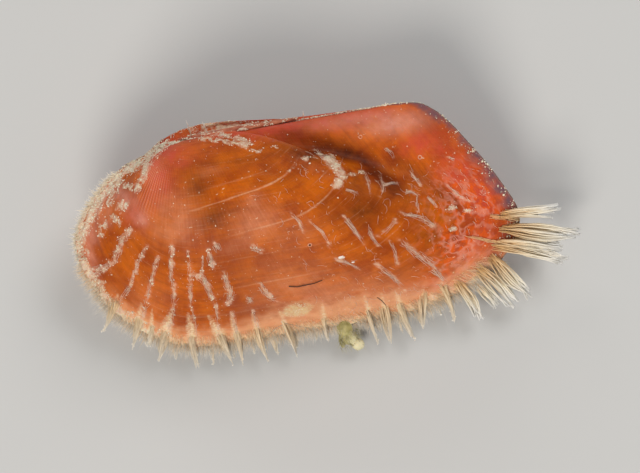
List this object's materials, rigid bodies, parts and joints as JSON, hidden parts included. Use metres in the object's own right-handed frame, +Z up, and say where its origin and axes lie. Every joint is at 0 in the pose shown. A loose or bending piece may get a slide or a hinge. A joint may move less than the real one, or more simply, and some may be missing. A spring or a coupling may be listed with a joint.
{
  "type": "ark clam shell",
  "caption": "Small closed ark clam shell, orange, with ribbed inflated valves and a fringe of bristly tufts, lying on one valve.",
  "frame": {"origin": "on the surface that the shell lies on, under the centre of its bounding box", "axes": "+X along the hinge line towards the posterior end, +Y towards the hinge side, +Z up; the left valve is uppermost"},
  "size_m": [0.02, 0.01, 0.0069],
  "materials": {
    "left_shell": "satin orange calcareous shell under a thin bristly skin, crusted at the front",
    "right_shell": "satin orange calcareous shell under a thin bristly skin, crusted at the front",
    "ligament": "dark horny strip, dull, partly crusted",
    "byssus": "olive matted threads with a pale torn end"
  },
  "bodies": {
    "root": {"left_valve": "left_shell", "right_valve": "right_shell", "ligament": "ligament", "byssus": "byssus"}
  },
  "joints": []
}
